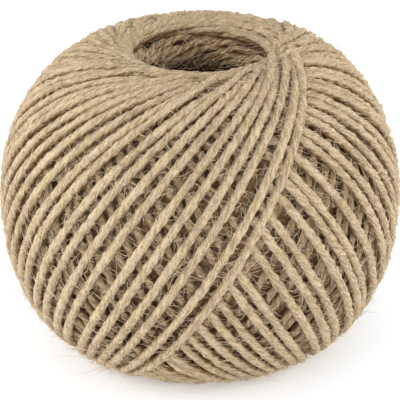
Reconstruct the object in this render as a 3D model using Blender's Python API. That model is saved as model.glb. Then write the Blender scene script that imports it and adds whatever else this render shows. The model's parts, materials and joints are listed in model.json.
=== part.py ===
"""A machine-wound ball of jute twine with its centre hole, standing on one end.

Every turn of the twine is a loop that touches the rim of the hole at the top, leans down one side,
touches the rim of the hole at the bottom and leans up the other side. The winder shifts each loop a
little further round the axis, so the ball shows two fields of leaning turns that meet along the last
loop: the field that holds the top hole leans one way, and the field that holds the bottom hole the other.
Metres, +Z up, the ball's axis on Z, the floor at z = 0.
"""

import math

import bmesh
import bpy

# Overall size
BALL_RADIUS = 0.050
HALF_HEIGHT = 0.0405
RIM_RADIUS = 0.020
THROAT_RADIUS = 0.0145
FLAT_DEPTH = 0.0007

# The upper rim stands this much higher on the side where the newest turns pile up, and lower opposite
TOP_LEAN = 0.0003

# Rounding of the wall: 2 is an ellipse, more is squarer
OUTER_ROUNDING = 2.0
BORE_ROUNDING = 3.0

# The winding
TURNS = 58
TWINE_DIAMETER = 0.0024
LAYER_RISE = 0.15 * TWINE_DIAMETER
RIDGE_DEPTH = 0.6 * TWINE_DIAMETER
LAST_TURN_AZIMUTH = math.radians(10.0)
RIM_REACH = math.radians(86.0)
LEAN = 1.0

# The foot: the wall is level from this reach to the hole, and keeps its own shape past the span above it
FOOT_REACH = math.radians(-84.0)
FOOT_SPAN = math.radians(30.0)

# How finely the surface is divided. A turn is 4 units wide, and half a trip round the axis is HALF_TURN
HALF_TURN = 2 * TURNS
FULL_TURN = 2 * HALF_TURN
RIM_UNITS = 16
RIDGE_FADE_UNITS = 23
BRIDGE_UNITS = 14
ALONG_UNITS = 3
BORE_SIDES = 54

# Bands of the bore wall: how far round the section, and how far the bundles of turns stand in or out
BORE_BANDS = (
    {"reach_deg": 89.0, "stand": 0.0},
    {"reach_deg": 98.0, "stand": 0.0002},
    {"reach_deg": 108.0, "stand": 0.0003},
    {"reach_deg": 118.0, "stand": -0.0008},
    {"reach_deg": 130.0, "stand": 0.0005},
    {"reach_deg": 146.0, "stand": -0.0006},
    {"reach_deg": 164.0, "stand": 0.0004},
)

JUTE = (0.56, 0.41, 0.235, 1.0)


def signed_power(value, exponent):
    return math.copysign(abs(value) ** exponent, value)


def wall(reach):
    """Radius, height and outward normal of the ball's wall. The reach is the angle round its section:
    0 at the widest point, a right angle on the upper rim, two right angles half way down the hole."""
    inside = math.cos(reach) < 0.0
    rounding = BORE_ROUNDING if inside else OUTER_ROUNDING
    width = RIM_RADIUS - THROAT_RADIUS if inside else BALL_RADIUS - RIM_RADIUS
    across = signed_power(math.cos(reach), 2.0 / rounding)
    up = signed_power(math.sin(reach), 2.0 / rounding)
    normal_r = signed_power(across, rounding - 1.0) / width
    normal_z = signed_power(up, rounding - 1.0) / HALF_HEIGHT
    length = math.hypot(normal_r, normal_z)
    return RIM_RADIUS + width * across, HALF_HEIGHT * up, normal_r / length, normal_z / length


def place(azimuth, reach, lift):
    """The point of the wall at this azimuth and reach, lifted along the outward normal."""
    radius, height, normal_r, normal_z = wall(reach)
    lean = TOP_LEAN * max(0.0, height / HALF_HEIGHT) ** 2 * math.cos(azimuth - LAST_TURN_AZIMUTH)
    radius += lift * normal_r
    height = max(height + lift * normal_z, FLAT_DEPTH - HALF_HEIGHT)
    z = height + lean + HALF_HEIGHT - FLAT_DEPTH
    return radius * math.cos(azimuth), radius * math.sin(azimuth), z


def turn_reach(swing):
    """How far round the wall's section a turn is, when it has swung this far from its top point."""
    return RIM_REACH * math.atan(LEAN * math.cos(swing)) / math.atan(LEAN)


def settled(reach):
    """1 on the side of the ball and on its top, and 0 on the bottom rim, which its weight presses level."""
    return min(1.0, max(0.0, (reach - FOOT_REACH) / FOOT_SPAN))


def ridge_share(swing_units):
    """Ridges fade where the turns crowd together at the rims."""
    from_rim = min(swing_units, HALF_TURN - swing_units) - RIM_UNITS
    return min(1.0, from_rim / RIDGE_FADE_UNITS)


def newest_age(azimuth_units, swing_units):
    """Age of the turn that lies on top here, in units: a whole trip of the winder is FULL_TURN.
    A point on the last loop itself belongs to the older field, which the last turn lies on."""
    falling = (-azimuth_units - swing_units) % FULL_TURN or FULL_TURN
    rising = (swing_units - azimuth_units) % FULL_TURN or FULL_TURN
    return min(falling, rising)


def layer_lift(age):
    """Each layer of turns is wound over an older one, so the surface falls away with the turn's age."""
    return LAYER_RISE * (0.5 - age / HALF_TURN)


def rim_lift(azimuth_units):
    """The layers' spiral round the rim, with its step eased where the last turns bridge it."""
    past_step = (azimuth_units - RIM_UNITS / 2) % FULL_TURN
    middle = layer_lift(HALF_TURN)
    nearness = min(past_step, FULL_TURN - past_step) / BRIDGE_UNITS
    return middle + (layer_lift(FULL_TURN - past_step) - middle) * min(1.0, nearness)


def field_lift(age, azimuth_units, swing_units):
    """The lift of a turn's layer, which eases into the rim's own near the upper rim."""
    share = min(1.0, (swing_units - RIM_UNITS) / RIM_UNITS)
    return share * layer_lift(age) + (1.0 - share) * rim_lift(azimuth_units)


class Skin:
    """The mesh under construction. Points are shared by their place in the winding."""

    def __init__(self):
        self.mesh = bmesh.new()
        self.points = {}

    def turn_point(self, azimuth_units, swing_units):
        key = (azimuth_units % FULL_TURN, swing_units)
        if key not in self.points:
            age = newest_age(*key)
            on_crest = (age // 2) % 2
            ridge = 0.0 if on_crest else -RIDGE_DEPTH * ridge_share(swing_units)
            swing = math.pi * swing_units / HALF_TURN
            azimuth = LAST_TURN_AZIMUTH + math.pi * azimuth_units / HALF_TURN
            reach = turn_reach(swing)
            lift = (field_lift(age, *key) + ridge) * settled(reach)
            self.points[key] = self.mesh.verts.new(place(azimuth, reach, lift))
        return self.points[key]

    def ring(self, reach, stand, follow):
        """A ring of points round the rim or the hole, each with its azimuth in units. The share follow
        says how much of the layers' spiral step it still shows."""
        points = []
        for side in range(BORE_SIDES):
            units = FULL_TURN * side / BORE_SIDES
            azimuth = LAST_TURN_AZIMUTH + math.pi * units / HALF_TURN
            lift = stand + follow * rim_lift(units) * settled(reach)
            points.append((units, self.mesh.verts.new(place(azimuth, reach, lift))))
        return points

    def zip_rows(self, first, second):
        """Triangles between two rows of (position, point), taken in order of position."""
        i = j = 0
        while i < len(first) - 1 or j < len(second) - 1:
            step_first = j == len(second) - 1 or (
                i < len(first) - 1 and first[i + 1][0] <= second[j + 1][0]
            )
            a, b = first[i][1], second[j][1]
            if step_first:
                i += 1
                corner = first[i][1]
            else:
                j += 1
                corner = second[j][1]
            if len({a, b, corner}) == 3:
                self.mesh.faces.new((a, b, corner))

    def zip_rings(self, first, second):
        """Triangles between two closed rings."""
        self.zip_rows(
            first + [(first[0][0] + FULL_TURN, first[0][1])],
            second + [(second[0][0] + FULL_TURN, second[0][1])],
        )


def swing_places(start, end, every_unit):
    """Where a row has its points: at its two ends, and between them at shared places."""
    step = 1 if every_unit else ALONG_UNITS
    between = [u for u in range(start + 1, end) if (u - RIM_UNITS) % step == 0]
    return [start] + between + ([end] if end > start else [])


def wind_fields(skin):
    """The two fields of turns. Even rows are valleys and odd rows are crests."""
    top, bottom = RIM_UNITS, HALF_TURN - RIM_UNITS
    upper_rows, lower_rows = [], []
    for row in range(bottom + 1):
        upper = swing_places(top, min(HALF_TURN - row, bottom), row == 0)
        upper_rows.append([(u, skin.turn_point(-2 * row - u, u)) for u in upper])
        lower = swing_places(max(row, top), bottom, row == 0)
        lower_rows.append([(u, skin.turn_point(u - 2 * row, u)) for u in lower])
    for rows in (upper_rows, lower_rows):
        for row, following in zip(rows, rows[1:]):
            skin.zip_rows(row, following)


def rim_ring(skin, swing_units):
    """The fields' own points along the rim, as one ring."""
    units = range(0, FULL_TURN, 2)
    return [(u, skin.turn_point(u, swing_units)) for u in units]


def line_hole(skin):
    """From the upper rim down the hole's wall and out to the lower rim."""
    rings = [rim_ring(skin, RIM_UNITS)]
    for index, band in enumerate(BORE_BANDS):
        follow = 1.0 - index / (len(BORE_BANDS) - 1)
        rings.append(skin.ring(math.radians(band["reach_deg"]), band["stand"], follow))
    for band in reversed(BORE_BANDS):
        rings.append(skin.ring(math.radians(-band["reach_deg"]), band["stand"], 0.0))
    rings.append(rim_ring(skin, HALF_TURN - RIM_UNITS))
    for ring, following in zip(rings, rings[1:]):
        skin.zip_rings(ring, following)


def centre_over_base(mesh):
    """Moves the ball so that its bounding box stands evenly round the Z axis."""
    for axis in (0, 1):
        values = [point.co[axis] for point in mesh.verts]
        middle = (min(values) + max(values)) / 2
        for point in mesh.verts:
            point.co[axis] -= middle


def jute_material():
    material = bpy.data.materials.new("jute")
    material.use_nodes = True
    shader = material.node_tree.nodes["Principled BSDF"]
    shader.inputs["Base Color"].default_value = JUTE
    shader.inputs["Roughness"].default_value = 0.9
    shader.inputs["Metallic"].default_value = 0.0
    return material


def build_ball():
    skin = Skin()
    wind_fields(skin)
    line_hole(skin)
    centre_over_base(skin.mesh)
    bmesh.ops.recalc_face_normals(skin.mesh, faces=skin.mesh.faces)
    data = bpy.data.meshes.new("twine_ball")
    skin.mesh.to_mesh(data)
    skin.mesh.free()
    data.materials.append(jute_material())
    ball = bpy.data.objects.new("twine_ball", data)
    bpy.context.scene.collection.objects.link(ball)
    return ball


def main():
    for thing in list(bpy.data.objects):
        bpy.data.objects.remove(thing)
    build_ball()


main()
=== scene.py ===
# %% [markdown]
# # A ball of jute twine
# This lesson dresses a plain solid of a machine-wound ball with its real twine. The ball is one long
# strand, laid up from three plies, wound in loops that lean down one side and up the other. Fine
# tubes for every turn would be hopeless by hand, but each turn follows one rule, so a short script
# can lay them all. We begin by loading the solid. It fixes the sizes, and nothing here moves it.

# %% Load the frame
import json
import math

import bpy
import numpy as np
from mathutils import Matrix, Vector


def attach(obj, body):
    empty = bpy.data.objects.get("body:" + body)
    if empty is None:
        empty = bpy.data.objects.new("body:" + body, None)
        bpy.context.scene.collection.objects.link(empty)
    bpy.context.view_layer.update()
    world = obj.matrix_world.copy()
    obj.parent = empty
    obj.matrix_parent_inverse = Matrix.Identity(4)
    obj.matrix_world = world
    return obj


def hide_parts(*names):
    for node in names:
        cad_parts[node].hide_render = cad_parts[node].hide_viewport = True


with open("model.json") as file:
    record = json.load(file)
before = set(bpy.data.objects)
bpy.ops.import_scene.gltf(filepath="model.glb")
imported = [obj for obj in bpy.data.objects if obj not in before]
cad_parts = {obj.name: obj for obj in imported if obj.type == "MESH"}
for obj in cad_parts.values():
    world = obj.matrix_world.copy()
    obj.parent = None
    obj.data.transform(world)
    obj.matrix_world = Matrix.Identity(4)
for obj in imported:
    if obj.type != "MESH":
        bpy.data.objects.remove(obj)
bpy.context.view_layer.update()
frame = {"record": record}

scene = bpy.context.scene

# %% [markdown]
# ## The sizes of the winding
# A ball like this could be traced, sculpted, or filled with random loops. Here the winder's own rule
# is used, because it puts every turn where the real one lies: the two fields of slanting turns, and
# the last turn between them, come out by themselves. The wall is half an ellipse outside and a
# squarer curve down the hole. These are the same driving sizes as the solid's.

# %% Sizes of the ball and its twine
BALL_RADIUS = 0.050
HALF_HEIGHT = 0.0405
RIM_RADIUS = 0.020
THROAT_RADIUS = 0.0145
FLAT_DEPTH = 0.0007
TOP_LEAN = 0.0003
OUTER_ROUNDING = 2.0
BORE_ROUNDING = 3.0

TURNS = 58
TWINE_DIAMETER = 0.0024
LAYER_RISE = 0.15 * TWINE_DIAMETER
LAST_TURN_AZIMUTH = math.radians(10.0)
RIM_REACH = math.radians(86.0)
LEAN = 1.0
FOOT_REACH = math.radians(-84.0)
FOOT_SPAN = math.radians(30.0)
RIM_SWING = math.radians(24.8)
BRIDGE = math.radians(21.7)

LAST_TURN_AGE = math.radians(0.75)

TRIP = 2.0 * math.pi
TURN_AGE = TRIP / TURNS
TWINE_RADIUS = TWINE_DIAMETER / 2

hole_low, hole_high = frame["record"]["physics"]["openings"][0]["box_m"]
axis_x, axis_y = [(low + high) / 2 for low, high in zip(hole_low[:2], hole_high[:2])]
MIDDLE_Z = HALF_HEIGHT - FLAT_DEPTH
print("the hole's axis stands at, mm:", round(1000 * axis_x, 2), round(1000 * axis_y, 2))

# %% [markdown]
# ## The wall and the layers
# A turn is placed by two angles: its azimuth round the ball, and its reach round the wall's section.
# On top of that comes its lift. New turns lie over old ones, so the lift falls with a turn's age.
# Age is counted as an angle too: one whole trip of the winder round the ball is a full circle.

# %% The wall as a formula
def signed_power(value, exponent):
    return np.sign(value) * np.abs(value) ** exponent

def wall(reach):
    """Radius, height and outward normal of the wall at a reach: 0 at the widest point, a right angle
    on the upper rim, two right angles half way down the hole."""
    inside = np.cos(reach) < 0.0
    rounding = np.where(inside, BORE_ROUNDING, OUTER_ROUNDING)
    width = np.where(inside, RIM_RADIUS - THROAT_RADIUS, BALL_RADIUS - RIM_RADIUS)
    across = signed_power(np.cos(reach), 2.0 / rounding)
    up = signed_power(np.sin(reach), 2.0 / rounding)
    normal_r = signed_power(across, rounding - 1.0) / width
    normal_z = signed_power(up, rounding - 1.0) / HALF_HEIGHT
    length = np.hypot(normal_r, normal_z)
    return RIM_RADIUS + width * across, HALF_HEIGHT * up, normal_r / length, normal_z / length

def place(azimuth, reach, lift):
    """Points at these azimuths and reaches, lifted along the wall's normal, in the frame's metres."""
    radius, height, normal_r, normal_z = wall(reach)
    lean = TOP_LEAN * np.maximum(0.0, height / HALF_HEIGHT) ** 2 * np.cos(azimuth - LAST_TURN_AZIMUTH)
    radius = radius + lift * normal_r
    height = np.maximum(height + lift * normal_z, FLAT_DEPTH - HALF_HEIGHT + TWINE_RADIUS)
    x = axis_x + radius * np.cos(azimuth)
    y = axis_y + radius * np.sin(azimuth)
    return np.column_stack((x, y, MIDDLE_Z + height + lean))

def layer_lift(age):
    return LAYER_RISE * (0.5 - age / math.pi)

def rim_lift(azimuth):
    """The lift of the pile on the upper rim. Its step is eased where the last turns bridge it."""
    past_step = (azimuth - LAST_TURN_AZIMUTH - RIM_SWING / 2) % TRIP
    middle = layer_lift(math.pi)
    nearness = np.minimum(past_step, TRIP - past_step) / BRIDGE
    return middle + (layer_lift(TRIP - past_step) - middle) * np.minimum(1.0, nearness)

def settled(reach):
    """1 on the side and the top, and 0 on the foot, which the ball's weight presses level."""
    return np.clip((reach - FOOT_REACH) / FOOT_SPAN, 0.0, 1.0)

# %% [markdown]
# ## One long strand
# The strand is followed backwards, from its newest end into the ball. Each half turn swings from one
# rim to the other, up on the even halves and down on the odd ones. No two turns of a real ball lie
# quite alike, so slow random waves with a fixed seed shift the turns sideways, vary how far they
# reach over the rims, and lift them a little.

# %% Slow random waves along the strand
POINTS_PER_HALF = 60
random_source = np.random.default_rng(11)

def slow_wave(halves, knots_per_half, spread):
    """A smooth random wave along the strand: random knots with rounded steps between them."""
    count = int(halves.max() * knots_per_half) + 3
    knots = random_source.normal(0.0, spread, count)
    at = halves * knots_per_half
    low = np.floor(at).astype(int)
    share = at - low
    share = share * share * (3.0 - 2.0 * share)
    return knots[low] * (1.0 - share) + knots[low + 1] * share

# %% How the turns stray from an even spacing
# The first turns that run down the front, newest first: how far each lies past its even place, in degrees
FRONT_STRAY = (0.0, -1.0, 0.8, -0.2, 0.3, -1.3, 0.5, -0.1, 0.7, 0.4, 1.2, 0.0, 0.3, 0.6, 1.3, 1.1, 1.9)
STRAY_SPREAD = math.radians(0.9)

def turn_shifts(halves):
    """Each half turn has its own shift in azimuth, which passes smoothly into the next one's."""
    shifts = random_source.normal(0.0, STRAY_SPREAD, int(halves.max()) + 3)
    shifts[1:2 * len(FRONT_STRAY):2] = -np.radians(FRONT_STRAY)
    at = np.maximum(0.0, halves - 0.5)
    low = np.floor(at).astype(int)
    share = at - low
    share = share * share * (3.0 - 2.0 * share)
    return shifts[low] * (1.0 - share) + shifts[low + 1] * share

# %% The strand's route
def eased(value, low, high):
    share = np.clip((value - low) / (high - low), 0.0, 1.0)
    return share * share * (3.0 - 2.0 * share)

def swing_and_age(halves):
    """How far each point has swung from its top point, its age, and whether it runs down or up."""
    part = halves % 1.0
    falling = np.floor(halves) % 2 == 1
    swing = math.pi * np.where(falling, 1.0 - part, part)
    return swing, halves * TURN_AGE / 2, falling

def turn_reach(swing, over_top, over_foot):
    """The reach of a turn. Near its top and bottom points it reaches a little over the rims."""
    reach = RIM_REACH * np.arctan(LEAN * np.cos(swing)) / math.atan(LEAN)
    near_top = np.maximum(0.0, np.cos(swing)) ** 6
    near_foot = np.maximum(0.0, -np.cos(swing)) ** 6
    return reach + over_top * near_top - over_foot * near_foot

# %% [markdown]
# ## Which turn lies on top
# Everywhere, a falling and a rising turn cross. The newer one is on top, and below them come the
# turns of the trips before. So each point of the strand has a rank, 0 for what we see. A lower rank
# is pushed at least one crossing below the one above. Near the rims the turns crowd until they lie
# closer than their own thickness, and there every second turn, then every fourth, slips beneath.

# %% Ranks and lifts
CROSSING = 0.84 * TWINE_DIAMETER

def rank_and_lift(swing, age, falling, reach, azimuth):
    """Which turn lies on top at each point, and how high each point's own layer lies."""
    own = age % TRIP
    trips = np.floor(age / TRIP)
    other = np.where(falling, own + 2.0 * swing, own - 2.0 * swing) % TRIP
    newest = TURN_AGE * (1.0 + np.where(falling, swing, -swing) / TRIP)
    other = np.where(other < newest, other + TRIP, other)
    first, second = np.minimum(own, other), np.maximum(own, other)
    ease = settled(reach)
    share = np.clip(swing / RIM_SWING - 1.0, 0.0, 1.0)
    levels = [ease * (share * layer_lift(first) + (1.0 - share) * rim_lift(azimuth))]
    for deeper in (second, first + TRIP, second + TRIP):
        levels.append(np.minimum(ease * layer_lift(deeper), levels[-1] - CROSSING))
    rank = (2 * trips + (own > other)).astype(int)
    return rank, np.choose(np.minimum(rank, 3), levels)

def crowding(swing, reach, loop, pile_order):
    """How far a turn slips beneath its neighbours where the turns lie closer than their thickness."""
    radius, height, _, _ = wall(reach)
    run = np.hypot(np.gradient(radius), np.gradient(height)) / np.maximum(np.abs(np.gradient(swing)), 1e-6)
    pitch = TURN_AGE * radius * run / np.hypot(run, radius)
    drop = np.sqrt(np.maximum(0.0, TWINE_DIAMETER ** 2 - pitch ** 2))
    deeper_drop = np.sqrt(np.maximum(0.0, TWINE_DIAMETER ** 2 - (2.0 * pitch) ** 2))
    order = pile_order[loop]
    return np.where(order == 0, 0.0, np.where(order == 2, deeper_drop, drop + 0.5 * deeper_drop))

def smoothed(values, reach_in_points):
    """A moving average, because a strand bends over what it crosses and doesn't step."""
    window = np.hanning(2 * reach_in_points + 3)[1:-1]
    padded = np.pad(values, reach_in_points, mode="edge")
    return np.convolve(padded, window / window.sum(), mode="valid")

# %% Follow the strand into the ball
DEEPEST_AGE = 1.6 * TRIP
NEWEST_END = 0.84
halves = np.arange(NEWEST_END, 2 * DEEPEST_AGE / TURN_AGE, 1.0 / POINTS_PER_HALF)
swing, age, falling = swing_and_age(halves)
loop = (halves / 2).astype(int)

sideways = turn_shifts(halves) + slow_wave(halves, 3.0, 0.05 * TURN_AGE)
over_top = math.radians(2.0) + math.radians(7.0) * eased(age, 0.1, 1.0)
over_top = over_top + slow_wave(halves, 0.5, math.radians(3.0))
over_foot = math.radians(7.0) + slow_wave(halves, 0.5, math.radians(3.0))
near_rim = eased(np.abs(np.cos(swing)), 0.6, 0.95)
sideways = sideways + near_rim * slow_wave(halves, 7.0, 0.13 * TURN_AGE)
wander = slow_wave(halves, 4.0, 0.00012) + near_rim * slow_wave(halves, 7.0, 0.0002)

reach = turn_reach(swing, over_top, over_foot)
reach = reach - math.radians(50.0) * (1.0 - eased(halves, NEWEST_END, 1.02))
start_azimuth = LAST_TURN_AZIMUTH + 0.75 * TURN_AGE - LAST_TURN_AGE
azimuth = start_azimuth - age + np.where(falling, -swing, swing) + sideways
rank, lift = rank_and_lift(swing, age, falling, reach, azimuth)
pile_order = np.resize([0, 1, 2, 3], loop.max() + 1)
for start in range(4, len(pile_order) - 4, 4):
    random_source.shuffle(pile_order[start:start + 4])
lift = lift - 0.4 * crowding(swing, reach, loop, pile_order)
lift = smoothed(lift, 2) + wander - TWINE_RADIUS
route = place(azimuth, reach, lift)
steps = np.linalg.norm(np.diff(route, axis=0), axis=1)
along = np.concatenate(([0.0], np.cumsum(steps)))
girth = 1.0 - 0.15 * eased(np.abs(np.cos(swing)), 0.7, 0.97)
print("turns followed:", loop.max() + 1, " strand followed, m:", round(along[-1], 1))

# %% [markdown]
# ## Cutting the strand for detail
# All of it in full detail would be far too many faces. So the strand is cut into lengths: fine ones
# wherever a turn shows, plainer ones just beneath, and plain ones deeper down. Each cut lies under
# another turn. A length is only a row of points joined by edges, with its distance along the strand
# stored on each point, so that the plies and the colour run on from one length to the next.

# %% Cut the strand
OVERLAP = 0.007

def spread_mask(mask, distance):
    """Widens a run of chosen points by this distance along the strand."""
    chosen = along[mask]
    nearest = np.searchsorted(chosen, along)
    before = np.abs(along - chosen[np.clip(nearest - 1, 0, len(chosen) - 1)])
    after = np.abs(along - chosen[np.clip(nearest, 0, len(chosen) - 1)])
    return np.minimum(before, after) <= distance

def lengths(mask):
    """The unbroken runs of chosen points, as pairs of first and last place."""
    edges = np.flatnonzero(np.diff(np.concatenate(([0], mask.astype(int), [0]))))
    return [(a, b) for a, b in zip(edges[::2], edges[1::2]) if b - a > 3]

def strand_mesh(name, runs):
    """A mesh of joined points for these runs of the strand."""
    places = np.concatenate([np.arange(a, b) for a, b in runs])
    sizes = np.array([b - a for a, b in runs])
    ends = np.cumsum(sizes) - 1
    first = np.delete(np.arange(len(places)), ends)
    mesh = bpy.data.meshes.new(name)
    mesh.from_pydata(route[places].tolist(), np.column_stack((first, first + 1)).tolist(), [])
    for name, values in (("along", along), ("girth", girth)):
        held = mesh.attributes.new(name, "FLOAT", "POINT")
        held.data.foreach_set("value", values[places].astype(np.float32))
    return mesh

shows = ((rank == 0) | ((swing < RIM_SWING) & (rank < 2))) & (age < TRIP)
fine = spread_mask(shows, OVERLAP) & (age < TRIP)
beneath = spread_mask(~fine & (age < TRIP), OVERLAP / 2) & (age < TRIP)
deep = age >= TRIP
fine_runs, beneath_runs, deep_runs = lengths(fine), lengths(beneath), lengths(deep)
for label, mask in (("fine", fine), ("beneath", beneath), ("deep", deep)):
    print(label, "m:", round(float(steps[mask[:-1]].sum()), 1))

# %% [markdown]
# ## Helpers for node trees
# Geometry Nodes lay up the strand. A tree could be drawn in the editor, but built in a script it can
# be read, repeated and changed. Two small helpers keep that short: one adds a node with its inputs,
# and one adds a step of arithmetic.

# %% Helpers for node trees
def add(tree, kind, inputs=(), **settings):
    """Adds one node. Its inputs are values, or outputs of other nodes, by socket name or place."""
    node = tree.nodes.new(kind)
    for name, value in settings.items():
        setattr(node, name, value)
    for socket, value in dict(inputs).items():
        if isinstance(value, bpy.types.NodeSocket):
            tree.links.new(value, node.inputs[socket])
        else:
            node.inputs[socket].default_value = value
    return node

def calc(tree, operation, *terms):
    return add(tree, "ShaderNodeMath", dict(enumerate(terms)), operation=operation).outputs[0]

def vector_calc(tree, operation, *terms):
    node = add(tree, "ShaderNodeVectorMath", dict(enumerate(terms)), operation=operation)
    return node.outputs["Value" if operation in ("DOT_PRODUCT", "LENGTH") else "Vector"]

def scaled(tree, vector, factor):
    return add(tree, "ShaderNodeVectorMath", {0: vector, "Scale": factor}, operation="SCALE").outputs[0]

def stored(tree, name, data_type="FLOAT_VECTOR"):
    return add(tree, "GeometryNodeInputNamedAttribute", {"Name": name}, data_type=data_type).outputs[0]

def store(tree, geometry, name, value, data_type="FLOAT_VECTOR"):
    node = add(tree, "GeometryNodeStoreNamedAttribute",
               {"Geometry": geometry, "Name": name}, data_type=data_type, domain="POINT")
    tree.links.new(value, node.inputs["Value"])
    return node.outputs["Geometry"]

def new_tree(name, sizes):
    """An empty tree that takes a geometry, named sizes and a material, and its input sockets."""
    tree = bpy.data.node_groups.new(name, "GeometryNodeTree")
    tree.interface.new_socket("Geometry", in_out="INPUT", socket_type="NodeSocketGeometry")
    for size_name, value in sizes.items():
        kind = "NodeSocketInt" if isinstance(value, int) else "NodeSocketFloat"
        socket = tree.interface.new_socket(size_name, in_out="INPUT", socket_type=kind)
        socket.default_value = value
    tree.interface.new_socket("Material", in_out="INPUT", socket_type="NodeSocketMaterial")
    tree.interface.new_socket("Geometry", in_out="OUTPUT", socket_type="NodeSocketGeometry")
    return tree, tree.nodes.new("NodeGroupInput").outputs

def close_tree(tree, geometry, given):
    """Ends a tree: smooth faces, real geometry, and the material."""
    smooth = add(tree, "GeometryNodeSetShadeSmooth", {"Geometry": geometry}).outputs[0]
    real = add(tree, "GeometryNodeRealizeInstances", {"Geometry": smooth}).outputs[0]
    painted = add(tree, "GeometryNodeSetMaterial", {"Geometry": real, "Material": given["Material"]})
    tree.links.new(painted.outputs[0], tree.nodes.new("NodeGroupOutput").inputs[0])

def grow(name, mesh, tree, material, sizes):
    """Runs a tree on a mesh and keeps what it makes as a plain mesh, at the origin."""
    start = bpy.data.objects.new(name + "_start", mesh)
    scene.collection.objects.link(start)
    modifier = start.modifiers.new(tree.name, "NODES")
    modifier.node_group = tree
    given = dict(sizes, Material=material)
    for item in tree.interface.items_tree:
        if item.in_out == "INPUT" and item.name in given:
            modifier[item.identifier] = given[item.name]
    graph = bpy.context.evaluated_depsgraph_get()
    result = bpy.data.meshes.new_from_object(start.evaluated_get(graph), preserve_all_data_layers=True,
                                             depsgraph=graph)
    bpy.data.objects.remove(start)
    result.name = name
    piece = bpy.data.objects.new(name, result)
    scene.collection.objects.link(piece)
    result.calc_loop_triangles()
    print(name, "triangles:", len(result.loop_triangles))
    return piece

# %% [markdown]
# ## Laying up three plies
# Jute twine is three soft yarns twisted round each other to the left, an S twist. Three separate
# tubes would double the faces and hide most of them inside. Instead one profile with three round
# lobes is swept along the route and turned once in every length of lay. The profile's own place is
# stored on the faces with the distance along the strand, and the material reads it as the lay.

# %% The tree that lays up the twine
LAY_LENGTH = 0.0084

def outward_from_inside(tree, position):
    """The direction straight out of the ball: away from a ring that runs inside it."""
    xyz = add(tree, "ShaderNodeSeparateXYZ", {0: position}).outputs
    flat = add(tree, "ShaderNodeCombineXYZ", {0: xyz[0], 1: xyz[1]}).outputs[0]
    ring = scaled(tree, vector_calc(tree, "NORMALIZE", flat), RIM_RADIUS + 0.006)
    ring = vector_calc(tree, "ADD", ring, (0.0, 0.0, MIDDLE_Z))
    return vector_calc(tree, "NORMALIZE", vector_calc(tree, "SUBTRACT", position, ring))

def ply_profile(tree, radius, valley, sides):
    """A closed outline with three soft lobes, one for each ply."""
    circle = add(tree, "GeometryNodeCurvePrimitiveCircle", {"Resolution": sides, "Radius": 1.0}, mode="RADIUS")
    xyz = add(tree, "ShaderNodeSeparateXYZ", {0: add(tree, "GeometryNodeInputPosition").outputs[0]}).outputs
    angle = calc(tree, "ARCTAN2", xyz[1], xyz[0])
    lobes = calc(tree, "COSINE", calc(tree, "MULTIPLY", angle, 3.0))
    off_lobe = calc(tree, "MULTIPLY_ADD", lobes, -0.5, 0.5)
    cut = calc(tree, "MULTIPLY", calc(tree, "POWER", off_lobe, 1.4), valley)
    size = calc(tree, "MULTIPLY", calc(tree, "SUBTRACT", 1.0, cut), radius)
    x = calc(tree, "MULTIPLY", calc(tree, "COSINE", angle), size)
    y = calc(tree, "MULTIPLY", calc(tree, "SINE", angle), size)
    point = add(tree, "ShaderNodeCombineXYZ", {0: x, 1: y}).outputs[0]
    shaped = add(tree, "GeometryNodeSetPosition", {"Geometry": circle.outputs[0], "Position": point}).outputs[0]
    return store(tree, shaped, "section", point)

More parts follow.
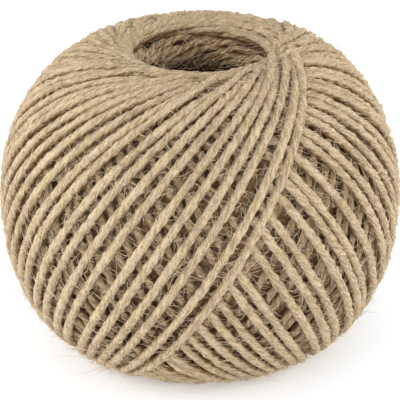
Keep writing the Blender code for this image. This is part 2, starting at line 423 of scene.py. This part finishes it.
def lay_up_tree():
    tree, given = new_tree("lay up twine", {
        "Radius": TWINE_RADIUS, "Valley": 0.15, "Lay Length": LAY_LENGTH, "Step": 0.0009, "Sides": 12,
        "Unevenness": 0.16, "Lumps": 0.0012,
    })
    curve = add(tree, "GeometryNodeMeshToCurve", {"Mesh": given["Geometry"]}).outputs[0]
    curve = add(tree, "GeometryNodeCurveSplineType", {"Curve": curve}, spline_type="CATMULL_ROM").outputs[0]
    curve = add(tree, "GeometryNodeResampleCurve", {"Curve": curve, "Length": given["Step"]}, mode="LENGTH")
    run = add(tree, "GeometryNodeInputTangent").outputs[0]
    curve = store(tree, curve.outputs[0], "run", run)
    length = add(tree, "GeometryNodeSplineParameter").outputs["Length"]
    laid = calc(tree, "DIVIDE", length, given["Lay Length"])
    twist = calc(tree, "MULTIPLY", laid, -TRIP)
    curve = add(tree, "GeometryNodeSetCurveTilt", {"Curve": curve, "Tilt": twist}).outputs[0]
    distance = stored(tree, "along", "FLOAT")
    slubs = add(tree, "ShaderNodeTexNoise", {"W": calc(tree, "MULTIPLY", distance, 90.0), "Scale": 1.0},
                noise_dimensions="1D").outputs[0]
    uneven = calc(tree, "MULTIPLY", calc(tree, "SUBTRACT", slubs, 0.5), given["Unevenness"])
    thickness = calc(tree, "MULTIPLY", calc(tree, "MULTIPLY_ADD", uneven, 2.0, 1.0), stored(tree, "girth", "FLOAT"))
    profile = ply_profile(tree, given["Radius"], given["Valley"], given["Sides"])
    mesh = add(tree, "GeometryNodeCurveToMesh", {
        "Curve": curve, "Profile Curve": profile, "Scale": thickness, "Fill Caps": True,
    }).outputs[0]
    lumps = add(tree, "ShaderNodeTexNoise", {"Scale": 700.0, "Detail": 1.0}).outputs[0]
    lump = calc(tree, "MULTIPLY", calc(tree, "SUBTRACT", lumps, 0.5), given["Lumps"])
    normal = add(tree, "GeometryNodeInputNormal").outputs[0]
    outward = outward_from_inside(tree, add(tree, "GeometryNodeInputPosition").outputs[0])
    # How far each face turns outwards, kept for the materials, which paint shade on the faces that turn away.
    mesh = store(tree, mesh, "facing", vector_calc(tree, "DOT_PRODUCT", normal, outward), "FLOAT")
    mesh = add(tree, "GeometryNodeSetPosition", {"Geometry": mesh, "Offset": scaled(tree, normal, lump)}).outputs[0]
    settled_at = vector_calc(tree, "MAXIMUM", add(tree, "GeometryNodeInputPosition").outputs[0], (-1.0, -1.0, 0.0001))
    mesh = add(tree, "GeometryNodeSetPosition", {"Geometry": mesh, "Position": settled_at}).outputs[0]
    section = add(tree, "ShaderNodeSeparateXYZ", {0: stored(tree, "section")}).outputs
    lay = add(tree, "ShaderNodeCombineXYZ", {0: section[0], 1: section[1], 2: distance}).outputs[0]
    mesh = store(tree, mesh, "lay", lay)
    for name in ("section", "along", "girth"):
        mesh = add(tree, "GeometryNodeRemoveAttribute", {"Geometry": mesh, "Name": name}).outputs[0]
    close_tree(tree, mesh, given)
    return tree

lay_up = lay_up_tree()

# %% [markdown]
# ## Jute as a material
# Jute is a pale golden straw with darker streaks where the fibres part. The streaks run nearly along
# the strand, because each ply is twisted the other way from the lay. A picture could give the
# colour, but a noise stretched along the fibres works at any distance. The pattern is a node group,
# since the turns and the loose fibres share it, each with its own colours.

# %% The shared pattern of fibres
def shader_group(name, inputs, outputs):
    tree = bpy.data.node_groups.new(name, "ShaderNodeTree")
    for direction, sockets in (("INPUT", inputs), ("OUTPUT", outputs)):
        for socket_name, kind in sockets.items():
            tree.interface.new_socket(socket_name, in_out=direction, socket_type="NodeSocket" + kind)
    return tree, tree.nodes.new("NodeGroupInput").outputs, tree.nodes.new("NodeGroupOutput").inputs

def ramp(tree, value, stops):
    """A colour ramp through these (place, colour) stops."""
    node = add(tree, "ShaderNodeValToRGB", {0: value})
    points = node.color_ramp.elements
    while len(points) < len(stops):
        points.new(0.5)
    for point, (at, colour) in zip(points, stops):
        point.position = at
        point.color = (*colour, 1.0)
    return node.outputs[0]

def mix_colour(tree, share, first, second, blend="MIX"):
    node = add(tree, "ShaderNodeMix", {0: share}, data_type="RGBA", blend_type=blend)
    for socket, value in ((6, first), (7, second)):
        if isinstance(value, bpy.types.NodeSocket):
            tree.links.new(value, node.inputs[socket])
        else:
            node.inputs[socket].default_value = (*value, 1.0)
    return node.outputs[2]

def fibre_pattern():
    """Streaks, specks, slow changes of tone, and painted shade in the grooves between the plies. Lay is the place in
    the strand: across it and along it.
    """
    tree, given, out = shader_group(
        "jute fibres",
        {"Lay": "Vector", "Light": "Color", "Dark": "Color", "Groove Shade": "Color"},
        {"Color": "Color", "Height": "Float"},
    )
    distance = add(tree, "ShaderNodeSeparateXYZ", {0: given["Lay"]}).outputs[2]
    untwist = calc(tree, "MULTIPLY", distance, -0.7 * TRIP / LAY_LENGTH)
    straight = add(tree, "ShaderNodeVectorRotate", {"Vector": given["Lay"], "Angle": untwist},
                   rotation_type="Z_AXIS").outputs[0]
    stretched = vector_calc(tree, "MULTIPLY", straight, (2000.0, 2000.0, 330.0))
    streaks = add(tree, "ShaderNodeTexNoise", {"Vector": stretched, "Scale": 1.0, "Detail": 3.0,
                                               "Roughness": 0.7}).outputs[0]
    specks = add(tree, "ShaderNodeTexNoise", {"Vector": given["Lay"], "Scale": 1300.0, "Detail": 3.0,
                                              "Roughness": 0.7}).outputs[0]
    tone = add(tree, "ShaderNodeTexNoise", {"W": distance, "Scale": 45.0, "Detail": 3.0},
               noise_dimensions="1D").outputs[0]
    hue = add(tree, "ShaderNodeTexNoise", {"W": distance, "Scale": 130.0, "Detail": 1.0},
              noise_dimensions="1D").outputs[0]
    mixed = calc(tree, "MULTIPLY_ADD", streaks, 5.0, -2.5)
    mixed = calc(tree, "MULTIPLY_ADD", calc(tree, "SUBTRACT", specks, 0.5), 3.0, mixed)
    mixed = calc(tree, "MULTIPLY_ADD", calc(tree, "SUBTRACT", tone, 0.5), 0.9, mixed)
    share = calc(tree, "ADD", mixed, 0.62)
    node = add(tree, "ShaderNodeClamp", {0: share})
    straw = mix_colour(tree, node.outputs[0], given["Dark"], given["Light"])
    yellowed = mix_colour(tree, 1.0, straw, (1.0, 1.01, 0.94), "MULTIPLY")
    pinked = mix_colour(tree, 1.0, straw, (1.005, 0.998, 1.0), "MULTIPLY")
    side = add(tree, "ShaderNodeMapRange", {"Value": hue, 1: 0.5, 2: 0.68},
               interpolation_type="SMOOTHSTEP").outputs[0]
    straw = mix_colour(tree, side, pinked, yellowed)
    across = vector_calc(tree, "MULTIPLY", given["Lay"], (1.0, 1.0, 0.0))
    from_core = calc(tree, "DIVIDE", vector_calc(tree, "LENGTH", across), TWINE_RADIUS)
    # Painted shade: towards the valleys between the plies the colour turns to the groove shade colour.
    on_ply = add(tree, "ShaderNodeMapRange", {"Value": from_core, 1: 0.78, 2: 0.95},
                 interpolation_type="SMOOTHSTEP").outputs[0]
    coloured = mix_colour(tree, on_ply, given["Groove Shade"], straw)
    tree.links.new(coloured, out["Color"])
    height = calc(tree, "MULTIPLY_ADD", specks, 0.6, streaks)
    tree.links.new(height, out["Height"])
    return tree

fibres = fibre_pattern()

# %% The materials
# Painted shade: the flanks of a strand that face into the ball are darkened in colour, for the shade its neighbours'
# fibres cast.
FLANK_PAINTED_SHADE = (0.52, 0.385, 0.25)

def jute_material(name, light, dark, groove_shade, roughness, bump, painted_shade_low=False):
    material = bpy.data.materials.new(name)
    material.use_nodes = True
    tree = material.node_tree
    shader = tree.nodes["Principled BSDF"]
    lay = add(tree, "ShaderNodeAttribute", attribute_name="lay").outputs["Vector"]
    pattern = add(tree, "ShaderNodeGroup", {}, node_tree=fibres)
    tree.links.new(lay, pattern.inputs["Lay"])
    for socket, colour in (("Light", light), ("Dark", dark), ("Groove Shade", groove_shade)):
        pattern.inputs[socket].default_value = (*colour, 1.0)
    # Painted shade on the flanks, by how far each face turns outwards.
    facing = add(tree, "ShaderNodeAttribute", attribute_name="facing").outputs["Fac"]
    lit = add(tree, "ShaderNodeMapRange", {"Value": facing, 1: -0.2, 2: 0.55},
              interpolation_type="SMOOTHSTEP").outputs[0]
    shade = mix_colour(tree, lit, FLANK_PAINTED_SHADE, (1.0, 1.0, 1.0))
    shaded = mix_colour(tree, 1.0, pattern.outputs["Color"], shade, "MULTIPLY")
    # Painted shade: the colour darkens lower in the hole, fully below 27 mm above or below the middle height.
    if painted_shade_low:
        here = add(tree, "ShaderNodeTexCoord").outputs["Object"]
        height = add(tree, "ShaderNodeSeparateXYZ", {0: here}).outputs["Z"]
        from_middle = calc(tree, "ABSOLUTE", calc(tree, "SUBTRACT", height, MIDDLE_Z))
        reached = add(tree, "ShaderNodeMapRange", {"Value": from_middle, 1: 0.0272, 2: 0.0325},
                      interpolation_type="SMOOTHSTEP").outputs[0]
        dimmed = mix_colour(tree, reached, (0.19, 0.13, 0.095), (1.0, 1.0, 1.0))
        shaded = mix_colour(tree, 1.0, shaded, dimmed, "MULTIPLY")
    tree.links.new(shaded, shader.inputs["Base Color"])
    raised = add(tree, "ShaderNodeBump", {"Strength": bump, "Distance": 0.0011,
                                          "Height": pattern.outputs["Height"]}).outputs[0]
    tree.links.new(raised, shader.inputs["Normal"])
    shader.inputs["Roughness"].default_value = roughness
    shader.inputs["Specular IOR Level"].default_value = 0.25
    return material

JUTE_LIGHT = (0.74, 0.585, 0.385)
JUTE_DARK = (0.42, 0.305, 0.18)
JUTE_GROOVE_SHADE = (0.46, 0.34, 0.205)
jute = jute_material("jute", JUTE_LIGHT, JUTE_DARK, JUTE_GROOVE_SHADE, 0.9, 1.0)
# Turns beneath others and deep down take a darker copy of jute: painted shade, for the shade of the turns that lie over
# them.
deep_shaded_jute = jute_material("jute_deep", (0.68, 0.52, 0.33), (0.32, 0.21, 0.11), (0.36, 0.25, 0.135), 0.9, 1.0)

# The hole's wall takes its own copy of jute, coloured for the light in the hole: its lighter tops are painted light,
# its much darker grooves and its darkening low down are painted shade.
hole_jute = jute_material("jute_in_hole", (0.90, 0.68, 0.43), (0.34, 0.21, 0.11), (0.25, 0.15, 0.07), 0.9, 1.0, True)
# Low in the hole the arcs take a near-black copy of jute: painted shade.
dim_jute = jute_material("jute_low_in_hole", (0.14, 0.083, 0.042), (0.03, 0.016, 0.008), (0.04, 0.022, 0.011), 0.9, 1.0)

def core_material():
    material = bpy.data.materials.new("jute_core")
    material.use_nodes = True
    tree = material.node_tree
    shader = tree.nodes["Principled BSDF"]
    here = add(tree, "ShaderNodeTexCoord").outputs["Object"]
    patches = add(tree, "ShaderNodeTexNoise", {"Vector": here, "Scale": 900.0, "Detail": 3.0}).outputs[0]
    colour = ramp(tree, patches, ((0.3, (0.19, 0.095, 0.035)), (0.7, (0.40, 0.24, 0.11))))
    flat = add(tree, "ShaderNodeVectorMath", {0: here, 1: (1.0, 1.0, 0.0)}, operation="MULTIPLY").outputs[0]
    from_axis = add(tree, "ShaderNodeVectorMath", {0: flat}, operation="LENGTH").outputs["Value"]
    # Painted shade: inside the hole the core's colour is darkened.
    outside = add(tree, "ShaderNodeMapRange", {"Value": from_axis, 1: 0.022, 2: 0.027},
                  interpolation_type="SMOOTHSTEP").outputs[0]
    shade = mix_colour(tree, outside, (0.30, 0.26, 0.24), (1.0, 1.0, 1.0))
    tree.links.new(mix_colour(tree, 1.0, colour, shade, "MULTIPLY"), shader.inputs["Base Color"])
    shader.inputs["Roughness"].default_value = 0.95
    return material

core_jute = core_material()

# %% [markdown]
# ## The turns
# The fine lengths are shared out over several pieces by age, so that no piece grows too heavy. The
# lengths beneath them are made with fewer sides and longer steps, because only their backs show, in
# the gaps.

# %% Make the turns
PARTS_OF_FINE = 2
fine_pieces = []
run_ends = np.cumsum([b - a for a, b in fine_runs])
share_of_run = (PARTS_OF_FINE * (run_ends - 1) / run_ends[-1]).astype(int)
for number in range(PARTS_OF_FINE):
    runs = [run for run, part in zip(fine_runs, share_of_run) if part == number]
    mesh = strand_mesh(f"turns_{number + 1}", runs)
    sizes = {"Radius": 1.06 * TWINE_RADIUS, "Lay Length": LAY_LENGTH, "Step": 0.001, "Sides": 10,
             "Unevenness": 0.16}
    fine_pieces.append(grow(f"turns_{number + 1}", mesh, lay_up, jute, sizes))

beneath_sizes = {"Radius": TWINE_RADIUS, "Lay Length": LAY_LENGTH, "Step": 0.00125, "Sides": 8,
                 "Unevenness": 0.1}
beneath_piece = grow("turns_beneath", strand_mesh("turns_beneath", beneath_runs), lay_up, deep_shaded_jute,
                     beneath_sizes)
deep_sizes = {"Radius": 1.08 * TWINE_RADIUS, "Lay Length": LAY_LENGTH, "Step": 0.0022, "Sides": 5,
              "Unevenness": 0.1}
deep_piece = grow("turns_deep", strand_mesh("turns_deep", deep_runs), lay_up, deep_shaded_jute, deep_sizes)

# %% [markdown]
# ## Down the hole
# Each older trip of the winder lies lower, so the hole's wall shows the top points of loop after
# loop. Only a short arc of each loop comes out of the wall: it climbs to its top point and dives back
# in. So these are made as short arcs in bundles, as the photo shows them. The lower half of the
# hole is the same, turned over.

# %% Short arcs down the hole
HOLE_BUNDLES = (
    {"height": 0.0392, "loops": 38, "climb": 0.0014, "stray": 0.0003, "part": "roll"},
    {"height": 0.0386, "loops": 38, "climb": 0.0012, "stray": 0.0004, "part": "roll"},
    {"height": 0.0350, "loops": 26, "climb": 0.0066, "stray": 0.0006, "part": "wall"},
    {"height": 0.0327, "loops": 26, "climb": 0.0066, "stray": 0.0006, "part": "wall"},
    {"height": 0.0262, "loops": 20, "climb": 0.0055, "stray": 0.0007, "part": "low"},
    {"height": 0.0205, "loops": 20, "climb": 0.0055, "stray": 0.0007, "part": "low"},
    {"height": 0.0145, "loops": 20, "climb": 0.0055, "stray": 0.0007, "part": "low"},
    {"height": 0.0085, "loops": 20, "climb": 0.0055, "stray": 0.0007, "part": "low"},
)
ARC_CLIMB = math.radians(46.0)
ARC_DIVE = math.radians(18.0)
ROLL_DIVE = math.radians(34.0)
ARC_POINTS = 12

def bore_radius(height):
    """Radius of the hole's wall at this height above or below the middle."""
    up = np.minimum(1.0, np.abs(height) / HALF_HEIGHT)
    across = (1.0 - up ** BORE_ROUNDING) ** (1.0 / BORE_ROUNDING)
    return RIM_RADIUS - (RIM_RADIUS - THROAT_RADIUS) * across

def hole_arcs(part, side):
    """Rows of points for the arcs of the upper half (side 1) or the lower half (side -1)."""
    rows = []
    for bundle in [bundle for bundle in HOLE_BUNDLES if bundle["part"] == part]:
        for i in range(bundle["loops"]):
            shift, rise, stand = random_source.normal(0.0, 1.0, 3)
            top_azimuth = TRIP * (i + 0.3 * shift) / bundle["loops"]
            from_outside = part == "roll"
            dive = ROLL_DIVE if from_outside else ARC_DIVE
            swing_past = np.linspace(-dive, ARC_CLIMB, ARC_POINTS)
            share = np.where(swing_past < 0.0, -swing_past / dive, swing_past / ARC_CLIMB)
            dip = 0.0003 if from_outside else 0.0010
            drop = np.where(swing_past < 0.0, dip * share ** 2, bundle["climb"] * share ** 1.1)
            sag = 0.0015 * max(0.0, math.cos(top_azimuth - math.radians(25.0))) ** 2
            height = bundle["height"] + bundle["stray"] * rise - drop - sag
            radius = bore_radius(height) + TWINE_RADIUS * 0.7 + 0.0003 * stand
            radius = radius + np.where(swing_past < 0.0, 0.0030, 0.0024) * share ** 2
            angle = top_azimuth + side * swing_past
            x, y = axis_x + radius * np.cos(angle), axis_y + radius * np.sin(angle)
            z = np.maximum(MIDDLE_Z + side * height, TWINE_RADIUS)
            rows.append(np.column_stack((x, y, z)))
    return rows

def rows_mesh(name, rows):
    """A mesh of joined points for separate rows, each with its own distance along."""
    mesh = bpy.data.meshes.new(name)
    points = np.concatenate(rows)
    counts = np.array([len(row) for row in rows])
    first = np.delete(np.arange(len(points)), np.cumsum(counts) - 1)
    mesh.from_pydata(points.tolist(), np.column_stack((first, first + 1)).tolist(), [])
    distances = []
    for row in rows:
        gone = np.concatenate(([0.0], np.cumsum(np.linalg.norm(np.diff(row, axis=0), axis=1))))
        distances.append(gone + random_source.uniform(0.0, 40.0))
    for name, values in (("along", np.concatenate(distances)), ("girth", np.full(len(points), 0.92))):
        held = mesh.attributes.new(name, "FLOAT", "POINT")
        held.data.foreach_set("value", values.astype(np.float32))
    return mesh

hole_sizes = {"Radius": TWINE_RADIUS, "Lay Length": LAY_LENGTH, "Step": 0.0012, "Sides": 8, "Unevenness": 0.14}
low_sizes = dict(hole_sizes, Step=0.0019, Sides=6)
hole_pieces = []
# The roll takes the plain jute; the wall and the low arcs take the copies with painted light and shade.
for part, look in (("roll", jute), ("wall", hole_jute), ("low", dim_jute)):
    name = "hole_" + part
    arcs = rows_mesh(name, hole_arcs(part, 1) + hole_arcs(part, -1))
    hole_pieces.append(grow(name, arcs, lay_up, look, low_sizes if part == "low" else hole_sizes))

# %% [markdown]
# ## The imported inside
# Below the turns that show, the ball is just packed twine. One dark closed ring, a little smaller
# than the ball, stands for it and stops light from shining through. Its dark brown is painted shade,
# for the twine that lies in shadow at the bottom of the gaps, and inside the hole it is darker still.

# %% The imported inside
CORE_DEPTH = 0.0050
CORE_BORE_DEPTH = 0.0026
CORE_SIDES = 72
CORE_ROWS = 44

def core_mesh():
    """The wall of the ball and of its hole, moved inwards."""
    reaches = np.linspace(-math.pi, math.pi, CORE_ROWS, endpoint=False)
    radius, height, normal_r, normal_z = wall(reaches)
    inside = eased(-np.cos(reaches), 0.0, 0.6)
    depth = CORE_DEPTH + (CORE_BORE_DEPTH - CORE_DEPTH) * inside
    radius = radius - depth * normal_r
    height = np.clip(height - depth * normal_z, CORE_DEPTH - HALF_HEIGHT, HALF_HEIGHT - CORE_DEPTH)
    points, faces = [], []
    for side in range(CORE_SIDES):
        angle = TRIP * side / CORE_SIDES
        for r, z in zip(radius, height):
            points.append((axis_x + r * math.cos(angle), axis_y + r * math.sin(angle), MIDDLE_Z + z))
        for row in range(CORE_ROWS):
            here, there = side * CORE_ROWS, (side + 1) % CORE_SIDES * CORE_ROWS
            above = (row + 1) % CORE_ROWS
            faces.append((here + row, there + row, there + above, here + above))
    mesh = bpy.data.meshes.new("packed_inside")
    mesh.from_pydata(points, [], faces)
    mesh.materials.append(core_jute)
    return mesh

core_piece = bpy.data.objects.new("packed_inside", core_mesh())
scene.collection.objects.link(core_piece)

# %% [markdown]
# ## Loose fibres
# Jute sheds fine hairs that stand off every strand, cross the gaps and blur its edges. A particle
# system would make them too, but a node tree keeps them repeatable: it scatters roots over the
# outward side of the turns and grows one thin, curved, tapering hair from each.

# %% The tree that grows the fibres
def random_in(tree, seed, low, high):
    """A random value or vector for each point."""
    if isinstance(low, tuple):
        node = add(tree, "FunctionNodeRandomValue", {"Seed": seed, 0: low, 1: high}, data_type="FLOAT_VECTOR")
        return node.outputs[0]
    return add(tree, "FunctionNodeRandomValue", {"Seed": seed, 2: low, 3: high}, data_type="FLOAT").outputs[1]

def fibre_tree():
    tree, given = new_tree("grow fibres", {
        "Per Area": 3.0e5, "Length": 0.0025, "Points": 5, "Radius": 0.00005, "Seed": 1,
    })
    position = add(tree, "GeometryNodeInputPosition").outputs[0]
    normal = add(tree, "GeometryNodeInputNormal").outputs[0]
    outward = outward_from_inside(tree, position)
    facing = vector_calc(tree, "DOT_PRODUCT", normal, outward)
    flank = calc(tree, "LESS_THAN", calc(tree, "ABSOLUTE", calc(tree, "SUBTRACT", facing, 0.25)), 0.5)
    scatter = add(tree, "GeometryNodeDistributePointsOnFaces", {
        "Mesh": given["Geometry"], "Selection": flank, "Density": given["Per Area"], "Seed": given["Seed"],
    })
    points = store(tree, scatter.outputs["Points"], "root", position)
    seeds = [calc(tree, "ADD", given["Seed"], step) for step in (0.0, 17.0, 31.0, 47.0)]
    cube = ((-1.0, -1.0, -1.0), (1.0, 1.0, 1.0))
    rise = vector_calc(tree, "ADD", scaled(tree, scatter.outputs["Normal"], 0.7),
                       scaled(tree, stored(tree, "run"), 0.7))
    rise = vector_calc(tree, "ADD", rise, scaled(tree, random_in(tree, seeds[0], *cube), 0.7))
    points = store(tree, points, "out", outward)
    points = store(tree, points, "rise", vector_calc(tree, "NORMALIZE", rise))
    points = store(tree, points, "bend", random_in(tree, seeds[1], *cube))
    points = store(tree, points, "curl", random_in(tree, seeds[2], *cube))
    lot = calc(tree, "POWER", random_in(tree, seeds[3], 0.0, 1.0), 3.0)
    size = calc(tree, "MULTIPLY", calc(tree, "MULTIPLY_ADD", lot, 2.0, 0.5), given["Length"])
    points = store(tree, points, "size", size, "FLOAT")
    line = add(tree, "GeometryNodeMeshLine", {"Count": given["Points"]}).outputs[0]
    hair = add(tree, "GeometryNodeMeshToCurve", {"Mesh": line}).outputs[0]
    hairs = add(tree, "GeometryNodeInstanceOnPoints", {"Points": points, "Instance": hair}).outputs[0]
    hairs = add(tree, "GeometryNodeRealizeInstances", {"Geometry": hairs}).outputs[0]
    share = add(tree, "GeometryNodeSplineParameter").outputs["Factor"]
    bent = scaled(tree, stored(tree, "bend"), calc(tree, "MULTIPLY", calc(tree, "MULTIPLY", share, share), 0.8))
    curled = scaled(tree, stored(tree, "curl"),
                    calc(tree, "MULTIPLY", calc(tree, "SINE", calc(tree, "MULTIPLY", share, 5.5)), 0.2))
    way = vector_calc(tree, "ADD", scaled(tree, stored(tree, "rise"), share), vector_calc(tree, "ADD", bent, curled))
    away = vector_calc(tree, "DOT_PRODUCT", way, stored(tree, "out"))
    way = vector_calc(tree, "SUBTRACT", way, scaled(tree, stored(tree, "out"), calc(tree, "MULTIPLY", away, 0.75)))
    tip = scaled(tree, way, stored(tree, "size", "FLOAT"))
    place_at = vector_calc(tree, "ADD", stored(tree, "root"), tip)
    place_at = vector_calc(tree, "MAXIMUM", place_at, (-1.0, -1.0, 0.0002))
    hairs = add(tree, "GeometryNodeSetPosition", {"Geometry": hairs, "Position": place_at}).outputs[0]
    taper = calc(tree, "MULTIPLY_ADD", share, -0.6, 1.0)
    profile = add(tree, "GeometryNodeCurvePrimitiveCircle", {"Resolution": 3, "Radius": given["Radius"]},
                  mode="RADIUS").outputs[0]
    mesh = add(tree, "GeometryNodeCurveToMesh", {"Curve": hairs, "Profile Curve": profile, "Scale": taper,
                                                 "Fill Caps": True}).outputs[0]
    for name in ("root", "rise", "bend", "curl", "size", "out"):
        mesh = add(tree, "GeometryNodeRemoveAttribute", {"Geometry": mesh, "Name": name}).outputs[0]
    close_tree(tree, mesh, given)
    return tree

def fibre_material():
    material = bpy.data.materials.new("jute_fibre")
    material.use_nodes = True
    tree = material.node_tree
    shader = tree.nodes["Principled BSDF"]
    here = add(tree, "ShaderNodeTexCoord").outputs["Object"]
    noise = add(tree, "ShaderNodeTexNoise", {"Vector": here, "Scale": 260.0, "Detail": 2.0}).outputs[0]
    colour = ramp(tree, noise, ((0.3, (0.62, 0.45, 0.27)), (0.7, (0.90, 0.72, 0.49))))
    tree.links.new(colour, shader.inputs["Base Color"])
    shader.inputs["Roughness"].default_value = 0.8
    return material

grow_fibres = fibre_tree()
fibre_look = fibre_material()
CURLS = {"Per Area": 2.8e5, "Length": 0.0030, "Points": 5, "Radius": 0.00007}
FUZZ = {"Per Area": 3.6e5, "Length": 0.0013, "Points": 3, "Radius": 0.00006}
LONG_HAIRS = {"Per Area": 3.0e4, "Length": 0.0041, "Points": 7, "Radius": 0.000075}
GAP_CURLS = {"Per Area": 2.0e5, "Length": 0.0034, "Points": 5, "Radius": 0.00008}
HOLE_CURLS = {"Per Area": 2.0e5, "Length": 0.0045, "Points": 5, "Radius": 0.000075}
growths = [("curls_1", fine_pieces[0], CURLS), ("curls_2", fine_pieces[1], CURLS),
           ("fuzz_1", fine_pieces[0], FUZZ), ("fuzz_2", fine_pieces[1], FUZZ),
           ("long_hairs_1", fine_pieces[0], LONG_HAIRS), ("long_hairs_2", fine_pieces[1], LONG_HAIRS),
           ("curls_beneath", beneath_piece, GAP_CURLS), ("curls_in_hole", hole_pieces[1], HOLE_CURLS)]
fibre_pieces = []
for number, (name, turns, sizes) in enumerate(growths):
    fibre_pieces.append(grow(name, turns.data.copy(), grow_fibres, fibre_look, dict(sizes, Seed=101 * number)))

# %% [markdown]
# ## The camera, the light and the floor
# The photo was taken from about 23 degrees above, with a long lens that hardly narrows the far side.
# The floor and the light are pale and soft, as on a product table.

# %% Camera, light and floor
CAMERA_ELEVATION = math.radians(23.0)
CAMERA_DISTANCE = 1.5
PICTURE_WIDTH = 0.100
SENSOR = 36.0
AIM = Vector((0.0, 0.0, 0.0384))

camera_data = bpy.data.cameras.new("camera")
camera_data.sensor_width = SENSOR
camera_data.lens = SENSOR * CAMERA_DISTANCE / PICTURE_WIDTH
camera_data.clip_end = 20.0
camera = bpy.data.objects.new("camera", camera_data)
back = Vector((0.0, -math.cos(CAMERA_ELEVATION), math.sin(CAMERA_ELEVATION)))
camera.location = AIM + CAMERA_DISTANCE * back
camera.rotation_euler = (-back).to_track_quat("-Z", "Y").to_euler()
scene.collection.objects.link(camera)
scene.camera = camera

def softbox(name, place_at, aim_at, width, watts):
    data = bpy.data.lights.new(name, "AREA")
    data.shape = "SQUARE"
    data.size = width
    data.energy = watts
    lamp = bpy.data.objects.new(name, data)
    lamp.location = place_at
    lamp.rotation_euler = (Vector(aim_at) - Vector(place_at)).to_track_quat("-Z", "Y").to_euler()
    scene.collection.objects.link(lamp)

softbox("softbox_front", (-0.20, -0.90, 0.40), (0.0, 0.0, 0.04), 0.7, 3.4)
softbox("softbox_left", (-1.0, 0.0, 0.30), (0.0, 0.0, 0.04), 0.7, 8.2)
softbox("softbox_right", (1.0, 0.0, 0.30), (0.0, 0.0, 0.04), 0.7, 6.8)

world = bpy.data.worlds.new("studio")
world.use_nodes = True
world.node_tree.nodes["Background"].inputs["Color"].default_value = (1.0, 1.0, 1.0, 1.0)
world.node_tree.nodes["Background"].inputs["Strength"].default_value = 0.85
scene.world = world
scene.view_settings.view_transform = "Standard"

def floor_plane():
    half = 6.0
    mesh = bpy.data.meshes.new("floor")
    mesh.from_pydata([(-half, -half, 0), (half, -half, 0), (half, half, 0), (-half, half, 0)], [],
                     [(0, 1, 2, 3)])
    material = bpy.data.materials.new("floor")
    material.use_nodes = True
    shader = material.node_tree.nodes["Principled BSDF"]
    shader.inputs["Base Color"].default_value = (0.77, 0.80, 0.835, 1.0)
    shader.inputs["Roughness"].default_value = 0.9
    shader.inputs["Specular IOR Level"].default_value = 0.0
    shader.inputs["Emission Color"].default_value = (1.0, 1.0, 1.0, 1.0)
    shader.inputs["Emission Strength"].default_value = 0.3
    mesh.materials.append(material)
    plane = bpy.data.objects.new("floor", mesh)
    scene.collection.objects.link(plane)
    return plane

floor_plane()

# %% [markdown]
# ## Join the pieces to the frame
# Every piece rides on the one body and stands for the plain solid, which is hidden.

# %% Ride and the end
for piece in fine_pieces + [beneath_piece, deep_piece, core_piece] + hole_pieces + fibre_pieces:
    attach(piece, "root")
    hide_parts("twine_ball")
